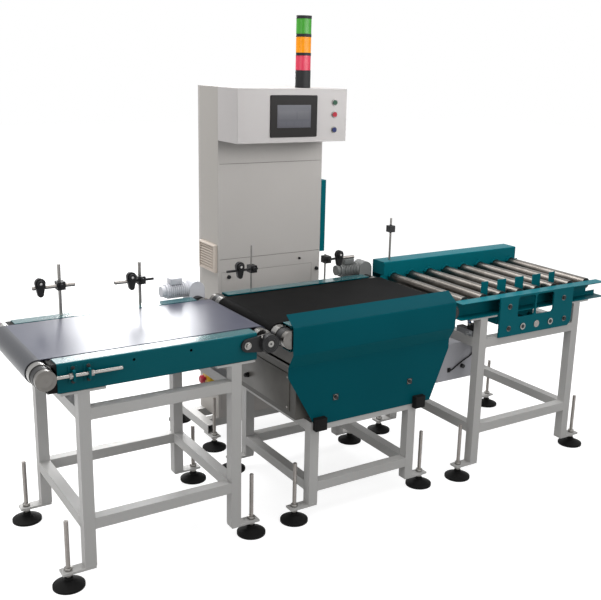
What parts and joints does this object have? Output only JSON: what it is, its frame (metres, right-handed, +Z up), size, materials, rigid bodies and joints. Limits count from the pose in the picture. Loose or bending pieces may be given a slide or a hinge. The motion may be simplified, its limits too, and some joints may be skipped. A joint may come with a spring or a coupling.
{
  "type": "checkweigher",
  "caption": "In-line belt checkweigher for boxes: infeed belt, weighing belt on a load cell, roller outfeed with a side pusher, and a control cabinet behind.",
  "frame": {"origin": "on the floor under the middle of the machine's overall box", "axes": "+X along the line from infeed to outfeed, +Y from the operator's side towards the cabinet, +Z up"},
  "size_m": [2.6221, 1.2846, 1.94],
  "materials": {
    "stand_paint": "satin off-white powder coat",
    "teal_paint": "satin deep teal enamel",
    "cream_paint": "fine-textured cream powder coat",
    "console_paint": "fine-textured cream powder coat",
    "belt": "smooth dark belt with a dull sheen",
    "steel": "turned bright steel",
    "roller_steel": "zinc-plated roller tube",
    "black_rubber": "matt moulded rubber",
    "black_casting": "black painted casting",
    "motor_paint": "grey painted castings",
    "housing_paint": "satin mid-grey enamel",
    "frame_plate": "plain plate",
    "aluminium": "natural aluminium",
    "black_plastic": "matt black moulding",
    "bezel_plastic": "dark grey panel frame with a lit screen",
    "lens": "ribbed coloured lens",
    "green_plastic": "glossy cap",
    "red_plastic": "glossy cap",
    "blue_plastic": "glossy cap",
    "beige_plastic": "matt beige moulding",
    "yellow_plastic": "yellow moulding on a grey box",
    "module_plastic": "grey moulded cases"
  },
  "bodies": {
    "machine": {"infeed_stand": "stand_paint", "weigh_stand": "stand_paint", "outfeed_stand": "stand_paint", "cabinet_base": "stand_paint", "foot_pads": "black_rubber", "foot_studs": "steel", "infeed_side_rails": "teal_paint", "weigh_side_rails": "teal_paint", "infeed_bed": "frame_plate", "weigh_bed": "frame_plate", "infeed_belt": "belt", "weigh_belt": "belt", "tail_take_ups": "steel", "head_bearings": "black_casting", "gearmotors": "motor_paint", "weigh_carrier": "housing_paint", "load_cell_housing": "housing_paint", "load_cell": "aluminium", "apron": "teal_paint", "rubber_blocks": "black_rubber", "outfeed_side_rails": "teal_paint", "roller_chain": "steel", "chain_guard": "teal_paint", "pusher_plates": "teal_paint", "pusher_guides": "steel", "panel_screws": "black_casting", "air_controls": "stand_paint", "cabinet_body": "cream_paint", "control_equipment": "module_plastic", "console": "console_paint", "touch_screen": "bezel_plastic", "tower_frame": "black_plastic", "tower_lenses": "lens", "fan_filter": "beige_plastic", "side_trunking": "teal_paint", "stop_box": "yellow_plastic", "sensor_posts": "steel"},
    "infeed_tail_pulley": {"infeed_tail_drum": "steel"},
    "infeed_head_pulley": {"infeed_head_drum": "steel"},
    "weigh_tail_pulley": {"weigh_tail_drum": "steel"},
    "weigh_head_pulley": {"weigh_head_drum": "steel"},
    "conveyor_roller_1": {"roller_1": "roller_steel"},
    "conveyor_roller_2": {"roller_2": "roller_steel"},
    "conveyor_roller_3": {"roller_3": "roller_steel"},
    "conveyor_roller_4": {"roller_4": "roller_steel"},
    "conveyor_roller_5": {"roller_5": "roller_steel"},
    "conveyor_roller_6": {"roller_6": "roller_steel"},
    "conveyor_roller_7": {"roller_7": "roller_steel"},
    "conveyor_roller_8": {"roller_8": "roller_steel"},
    "pusher": {"pusher_carriage": "teal_paint"},
    "start_button": {"green_button": "green_plastic"},
    "stop_push": {"red_button": "red_plastic"},
    "reset_button": {"blue_button": "blue_plastic"},
    "emergency_stop": {"stop_button": "red_plastic"},
    "rear_door": {"cabinet_door": "cream_paint"},
    "latch": {"door_latch": "steel"},
    "eye_arm_1": {"sensor_arm_1": "black_plastic"},
    "eye_arm_2": {"sensor_arm_2": "black_plastic"},
    "eye_arm_3": {"sensor_arm_3": "black_plastic"},
    "eye_arm_4": {"sensor_arm_4": "black_plastic"}
  },
  "joints": [
    {"name": "infeed_head_turn", "type": "hinge", "parent": "machine", "child": "infeed_head_pulley", "pos_m": [-0.46603, -0.307, 0.76295], "axis": [0, 1, 0], "continuous": true},
    {"name": "infeed_tail_turn", "type": "hinge", "parent": "machine", "child": "infeed_tail_pulley", "pos_m": [-1.27002, -0.307, 0.76295], "axis": [0, 1, 0], "continuous": true},
    {"name": "weigh_head_turn", "type": "hinge", "parent": "machine", "child": "weigh_head_pulley", "pos_m": [0.39098, -0.307, 0.76295], "axis": [0, 1, 0], "continuous": true},
    {"name": "weigh_tail_turn", "type": "hinge", "parent": "machine", "child": "weigh_tail_pulley", "pos_m": [-0.38003, -0.307, 0.76295], "axis": [0, 1, 0], "continuous": true},
    {"name": "roller_1_turn", "type": "hinge", "parent": "machine", "child": "conveyor_roller_1", "pos_m": [0.50497, -0.307, 0.78], "axis": [0, 1, 0], "continuous": true},
    {"name": "roller_2_turn", "type": "hinge", "parent": "machine", "child": "conveyor_roller_2", "pos_m": [0.61228, -0.307, 0.78], "axis": [0, 1, 0], "continuous": true},
    {"name": "roller_3_turn", "type": "hinge", "parent": "machine", "child": "conveyor_roller_3", "pos_m": [0.71957, -0.307, 0.78], "axis": [0, 1, 0], "continuous": true},
    {"name": "roller_4_turn", "type": "hinge", "parent": "machine", "child": "conveyor_roller_4", "pos_m": [0.82688, -0.307, 0.78], "axis": [0, 1, 0], "continuous": true},
    {"name": "roller_5_turn", "type": "hinge", "parent": "machine", "child": "conveyor_roller_5", "pos_m": [0.93417, -0.307, 0.78], "axis": [0, 1, 0], "continuous": true},
    {"name": "roller_6_turn", "type": "hinge", "parent": "machine", "child": "conveyor_roller_6", "pos_m": [1.04147, -0.307, 0.78], "axis": [0, 1, 0], "continuous": true},
    {"name": "roller_7_turn", "type": "hinge", "parent": "machine", "child": "conveyor_roller_7", "pos_m": [1.14878, -0.307, 0.78], "axis": [0, 1, 0], "continuous": true},
    {"name": "roller_8_turn", "type": "hinge", "parent": "machine", "child": "conveyor_roller_8", "pos_m": [1.25608, -0.307, 0.78], "axis": [0, 1, 0], "continuous": true},
    {"name": "pusher_stroke", "type": "slide", "parent": "machine", "child": "pusher", "axis": [0, 1, 0], "range_m": [0, 0.35]},
    {"name": "start_press", "type": "slide", "parent": "machine", "child": "start_button", "axis": [0, 1, 0], "range_m": [0, 0.004], "stiffness_N_per_m": 400, "springref_m": -0.003},
    {"name": "stop_press", "type": "slide", "parent": "machine", "child": "stop_push", "axis": [0, 1, 0], "range_m": [0, 0.004], "stiffness_N_per_m": 400, "springref_m": -0.003},
    {"name": "reset_press", "type": "slide", "parent": "machine", "child": "reset_button", "axis": [0, 1, 0], "range_m": [0, 0.004], "stiffness_N_per_m": 400, "springref_m": -0.003},
    {"name": "emergency_press", "type": "slide", "parent": "machine", "child": "emergency_stop", "axis": [1, 0, 0], "range_m": [0, 0.006]},
    {"name": "rear_door_swing", "type": "hinge", "parent": "machine", "child": "rear_door", "pos_m": [0.31598, 0.4575, 0.9], "axis": [0, 0, -1], "range_deg": [0, 100]},
    {"name": "latch_turn", "type": "hinge", "parent": "rear_door", "child": "latch", "pos_m": [-0.19503, 0.468, 0.89], "axis": [0, -1, 0], "range_deg": [0, 90]},
    {"name": "eye_arm_1_swing", "type": "hinge", "parent": "machine", "child": "eye_arm_1", "pos_m": [-1.04703, -0.045, 0.92], "axis": [0, 0, 1], "range_deg": [-90, 90]},
    {"name": "eye_arm_2_swing", "type": "hinge", "parent": "machine", "child": "eye_arm_2", "pos_m": [-0.73303, -0.045, 0.907], "axis": [0, 0, 1], "range_deg": [-90, 90]},
    {"name": "eye_arm_3_swing", "type": "hinge", "parent": "machine", "child": "eye_arm_3", "pos_m": [-0.23902, -0.045, 0.9], "axis": [0, 0, 1], "range_deg": [-90, 90]},
    {"name": "eye_arm_4_swing", "type": "hinge", "parent": "machine", "child": "eye_arm_4", "pos_m": [0.13298, -0.045, 0.904], "axis": [0, 0, 1], "range_deg": [-90, 90]}
  ],
  "couplings": [
    {"joint": "infeed_tail_turn", "follows": "infeed_head_turn", "ratio": 1},
    {"joint": "weigh_tail_turn", "follows": "weigh_head_turn", "ratio": 1},
    {"joint": "roller_1_turn", "follows": "roller_4_turn", "ratio": 1},
    {"joint": "roller_2_turn", "follows": "roller_4_turn", "ratio": 1},
    {"joint": "roller_3_turn", "follows": "roller_4_turn", "ratio": 1},
    {"joint": "roller_5_turn", "follows": "roller_4_turn", "ratio": 1},
    {"joint": "roller_6_turn", "follows": "roller_4_turn", "ratio": 1},
    {"joint": "roller_7_turn", "follows": "roller_4_turn", "ratio": 1},
    {"joint": "roller_8_turn", "follows": "roller_4_turn", "ratio": 1}
  ]
}
